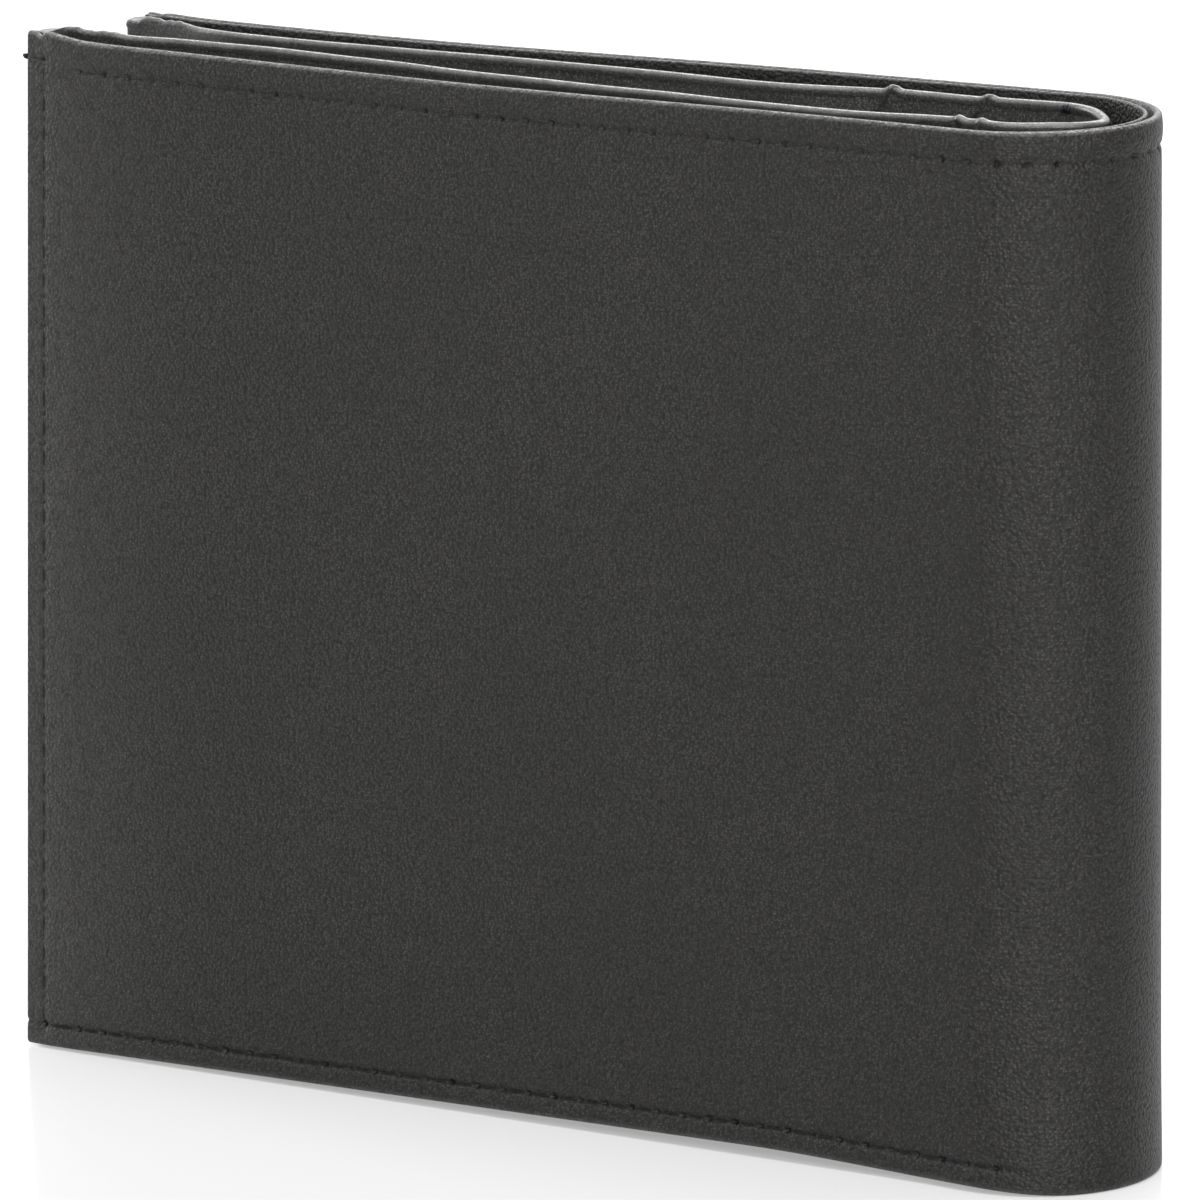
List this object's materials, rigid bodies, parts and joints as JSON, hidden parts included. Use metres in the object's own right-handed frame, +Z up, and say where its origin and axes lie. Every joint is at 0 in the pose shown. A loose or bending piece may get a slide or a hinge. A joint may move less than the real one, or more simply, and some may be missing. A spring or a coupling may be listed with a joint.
{
  "type": "bifold wallet",
  "caption": "Closed leather bifold wallet with stepped card pockets on both leaves and a banknote compartment that runs round its bending spine; it folds open flat.",
  "frame": {"origin": "middle of the closed wallet's footprint, on the surface that it stands on", "axes": "+X from the open edges towards the spine, -Y out of the front cover, +Z up along the spine"},
  "size_m": [0.1074, 0.022, 0.09],
  "materials": {
    "cover_leather": "fine-grained, soft satin",
    "divider_leather": "thin fine-grained leather, satin",
    "pocket_leather": "fine-grained, satin",
    "lining": "woven, matt",
    "thread": "twisted polyester thread, slight sheen"
  },
  "bodies": {
    "front_leaf": {"front_cover": "cover_leather", "front_cover_lining": "lining", "front_divider": "divider_leather", "front_divider_lining": "lining", "front_slip_pocket": "pocket_leather", "front_card_slot_1": "pocket_leather", "front_card_slot_2": "pocket_leather", "front_card_slot_3": "pocket_leather", "front_hem_thread": "thread", "front_seam_thread": "thread", "front_divider_thread": "thread", "front_pocket_thread": "thread"},
    "spine_strip_1": {"spine_cover_1": "cover_leather", "spine_lining_1": "lining", "spine_divider_1": "divider_leather", "spine_thread_1": "thread"},
    "spine_strip_2": {"spine_cover_2": "cover_leather", "spine_lining_2": "lining", "spine_divider_2": "divider_leather", "spine_thread_2": "thread"},
    "spine_strip_3": {"spine_cover_3": "cover_leather", "spine_lining_3": "lining", "spine_divider_3": "divider_leather", "spine_thread_3": "thread"},
    "spine_strip_4": {"spine_cover_4": "cover_leather", "spine_lining_4": "lining", "spine_divider_4": "divider_leather", "spine_thread_4": "thread"},
    "rear_leaf": {"rear_cover": "cover_leather", "rear_cover_lining": "lining", "rear_divider": "divider_leather", "rear_divider_lining": "lining", "rear_slip_pocket": "pocket_leather", "rear_card_slot_1": "pocket_leather", "rear_card_slot_2": "pocket_leather", "rear_card_slot_3": "pocket_leather", "rear_hem_thread": "thread", "rear_seam_thread": "thread", "rear_divider_thread": "thread", "rear_pocket_thread": "thread"}
  },
  "joints": [
    {"name": "fold_1", "type": "hinge", "parent": "front_leaf", "child": "spine_strip_1", "pos_m": [0.04231, -0.01105, 0], "axis": [0, 0, -1], "range_deg": [0, 36.5]},
    {"name": "fold_2", "type": "hinge", "parent": "spine_strip_1", "child": "spine_strip_2", "pos_m": [0.05031, -0.00791, 0], "axis": [0, 0, -1], "range_deg": [0, 36.5]},
    {"name": "fold_3", "type": "hinge", "parent": "spine_strip_2", "child": "spine_strip_3", "pos_m": [0.05365, 0, 0], "axis": [0, 0, -1], "range_deg": [0, 36.5]},
    {"name": "fold_4", "type": "hinge", "parent": "spine_strip_3", "child": "spine_strip_4", "pos_m": [0.05031, 0.00791, 0], "axis": [0, 0, -1], "range_deg": [0, 36.5]},
    {"name": "fold_5", "type": "hinge", "parent": "spine_strip_4", "child": "rear_leaf", "pos_m": [0.04231, 0.01105, 0], "axis": [0, 0, -1], "range_deg": [0, 36.5]}
  ],
  "couplings": [
    {"joint": "fold_2", "follows": "fold_1", "ratio": 1},
    {"joint": "fold_3", "follows": "fold_1", "ratio": 1},
    {"joint": "fold_4", "follows": "fold_1", "ratio": 1},
    {"joint": "fold_5", "follows": "fold_1", "ratio": 1}
  ]
}
